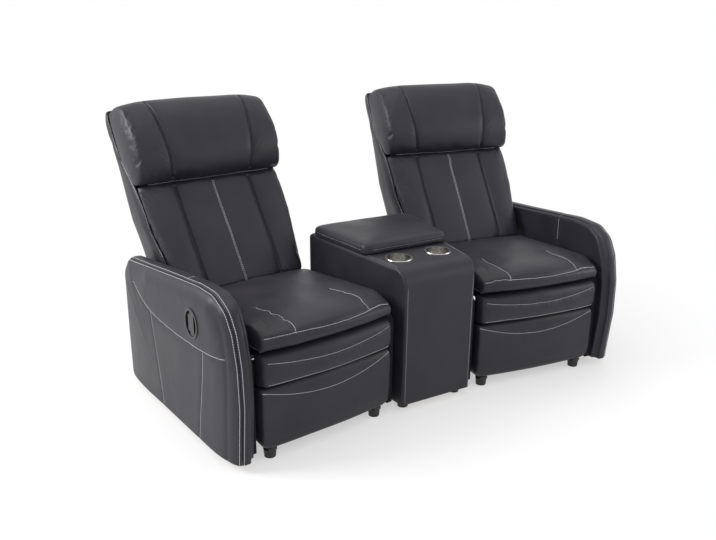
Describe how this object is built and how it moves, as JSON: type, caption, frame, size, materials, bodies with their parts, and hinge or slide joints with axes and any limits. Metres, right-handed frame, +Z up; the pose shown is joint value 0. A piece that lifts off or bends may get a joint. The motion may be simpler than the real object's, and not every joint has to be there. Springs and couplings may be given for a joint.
{
  "type": "cinema recliner seat",
  "caption": "Cinema recliner row: padded seats with swing-out footrests, reclining backs and a wedge console with a lidded bin and cup holders.",
  "frame": {"origin": "on the floor, under the middle of the row's bounding box, midway between the seats", "axes": "+X to the right seen from the front, +Y to the rear, +Z up; the seats turn in by 7.6 degrees each"},
  "size_m": [1.9174, 1.173, 1.0952],
  "materials": {
    "leather": "satin",
    "black_cloth": "matte",
    "webbing": "matte",
    "plywood": "matte",
    "black_plastic": "satin",
    "bright_steel": "satin",
    "dark_steel": "satin"
  },
  "bodies": {
    "base": {"connectors": "dark_steel", "console_bin": "black_plastic", "console_cover": "leather", "console_frame": "plywood", "cup_holders": "bright_steel", "feet": "black_plastic", "hinge_leaf": "dark_steel", "left_arm_frame": "plywood", "left_arm_pad": "leather", "left_arm_panel": "leather", "left_base_rails": "dark_steel", "left_handle_bezel": "black_plastic", "left_rear_panel": "black_cloth", "left_seat_cushion": "leather", "left_seat_frame": "plywood", "left_seat_webbing": "webbing", "left_side_boards": "black_cloth", "left_side_plates": "dark_steel", "right_arm_frame": "plywood", "right_arm_pad": "leather", "right_arm_panel": "leather", "right_base_rails": "dark_steel", "right_handle_bezel": "black_plastic", "right_rear_panel": "black_cloth", "right_seat_cushion": "leather", "right_seat_frame": "plywood", "right_seat_webbing": "webbing", "right_side_boards": "black_cloth", "right_side_plates": "dark_steel"},
    "left_back": {"left_back_shell": "leather", "left_back_cushion": "leather", "left_headrest": "leather", "left_back_frame": "plywood", "left_back_arms": "dark_steel"},
    "left_footrest": {"left_footrest_board": "plywood", "left_footrest_panel": "leather", "left_footrest_pad": "leather", "left_footrest_brackets": "dark_steel"},
    "left_main_link": {"left_main_links": "dark_steel"},
    "left_cross_link": {"left_cross_links": "dark_steel"},
    "left_guide_link": {"left_guide_links": "dark_steel"},
    "left_stay_link": {"left_stay_links": "dark_steel"},
    "left_handle": {"left_handle_paddle": "black_plastic"},
    "right_back": {"right_back_shell": "leather", "right_back_cushion": "leather", "right_headrest": "leather", "right_back_frame": "plywood", "right_back_arms": "dark_steel"},
    "right_footrest": {"right_footrest_board": "plywood", "right_footrest_panel": "leather", "right_footrest_pad": "leather", "right_footrest_brackets": "dark_steel"},
    "right_main_link": {"right_main_links": "dark_steel"},
    "right_cross_link": {"right_cross_links": "dark_steel"},
    "right_guide_link": {"right_guide_links": "dark_steel"},
    "right_stay_link": {"right_stay_links": "dark_steel"},
    "right_handle": {"right_handle_paddle": "black_plastic"},
    "console_lid": {"lid_board": "plywood", "lid_pad": "leather", "lid_hinge": "dark_steel"}
  },
  "joints": [
    {"name": "left_back_recline", "type": "hinge", "parent": "base", "child": "left_back", "pos_m": [-0.55122, 0.09757, 0.35], "axis": [-0.9913, -0.1315, 0], "range_deg": [0, 28]},
    {"name": "left_footrest_swing", "type": "hinge", "parent": "base", "child": "left_main_link", "pos_m": [-0.4864, -0.39115, 0.3698], "axis": [-0.9913, -0.1315, 0], "range_deg": [0, 89.7]},
    {"name": "left_cross_link_swing", "type": "hinge", "parent": "left_main_link", "child": "left_cross_link", "pos_m": [-0.49071, -0.35864, 0.12599], "axis": [-0.9913, -0.1315, 0], "range_deg": [-153.45, 0]},
    {"name": "left_footrest_turn", "type": "hinge", "parent": "left_cross_link", "child": "left_footrest", "pos_m": [-0.48049, -0.43573, 0.26982], "axis": [-0.9913, -0.1315, 0], "range_deg": [0, 153.75]},
    {"name": "left_guide_link_swing", "type": "hinge", "parent": "base", "child": "left_guide_link", "pos_m": [-0.49603, -0.31859, 0.3805], "axis": [-0.9913, -0.1315, 0], "range_deg": [0, 84.25]},
    {"name": "left_stay_link_swing", "type": "hinge", "parent": "left_main_link", "child": "left_stay_link", "pos_m": [-0.48953, -0.3676, 0.19319], "axis": [-0.9913, -0.1315, 0], "range_deg": [-153.45, 0]},
    {"name": "left_handle_pull", "type": "hinge", "parent": "base", "child": "left_handle", "pos_m": [-0.87841, -0.31049, 0.455], "axis": [0, 0, -1], "range_deg": [0, 35], "stiffness_Nm_per_rad": 0.6, "springref_deg": -20.05},
    {"name": "right_back_recline", "type": "hinge", "parent": "base", "child": "right_back", "pos_m": [0.55122, 0.09757, 0.35], "axis": [-0.9913, 0.1315, 0], "range_deg": [0, 28]},
    {"name": "right_footrest_swing", "type": "hinge", "parent": "base", "child": "right_main_link", "pos_m": [0.4864, -0.39115, 0.3698], "axis": [-0.9913, 0.1315, 0], "range_deg": [0, 89.7]},
    {"name": "right_cross_link_swing", "type": "hinge", "parent": "right_main_link", "child": "right_cross_link", "pos_m": [0.49071, -0.35864, 0.12599], "axis": [-0.9913, 0.1315, 0], "range_deg": [-153.45, 0]},
    {"name": "right_footrest_turn", "type": "hinge", "parent": "right_cross_link", "child": "right_footrest", "pos_m": [0.48049, -0.43573, 0.26982], "axis": [-0.9913, 0.1315, 0], "range_deg": [0, 153.75]},
    {"name": "right_guide_link_swing", "type": "hinge", "parent": "base", "child": "right_guide_link", "pos_m": [0.49603, -0.31859, 0.3805], "axis": [-0.9913, 0.1315, 0], "range_deg": [0, 84.25]},
    {"name": "right_stay_link_swing", "type": "hinge", "parent": "right_main_link", "child": "right_stay_link", "pos_m": [0.48953, -0.3676, 0.19319], "axis": [-0.9913, 0.1315, 0], "range_deg": [-153.45, 0]},
    {"name": "right_handle_pull", "type": "hinge", "parent": "base", "child": "right_handle", "pos_m": [0.87841, -0.31049, 0.455], "axis": [0, 0, 1], "range_deg": [0, 35], "stiffness_Nm_per_rad": 0.6, "springref_deg": -20.05},
    {"name": "console_lid_hinge", "type": "hinge", "parent": "base", "child": "console_lid", "pos_m": [0, 0.08287, 0.562], "axis": [-1, 0, 0], "range_deg": [0, 85]}
  ],
  "couplings": [
    {"joint": "left_cross_link_swing", "follows": "left_footrest_swing", "ratio": -1.7101},
    {"joint": "left_footrest_turn", "follows": "left_footrest_swing", "ratio": 1.7135},
    {"joint": "left_guide_link_swing", "follows": "left_footrest_swing", "ratio": 0.93868},
    {"joint": "left_stay_link_swing", "follows": "left_footrest_swing", "ratio": -1.7101},
    {"joint": "right_cross_link_swing", "follows": "right_footrest_swing", "ratio": -1.7101},
    {"joint": "right_footrest_turn", "follows": "right_footrest_swing", "ratio": 1.7135},
    {"joint": "right_guide_link_swing", "follows": "right_footrest_swing", "ratio": 0.93868},
    {"joint": "right_stay_link_swing", "follows": "right_footrest_swing", "ratio": -1.7101}
  ]
}
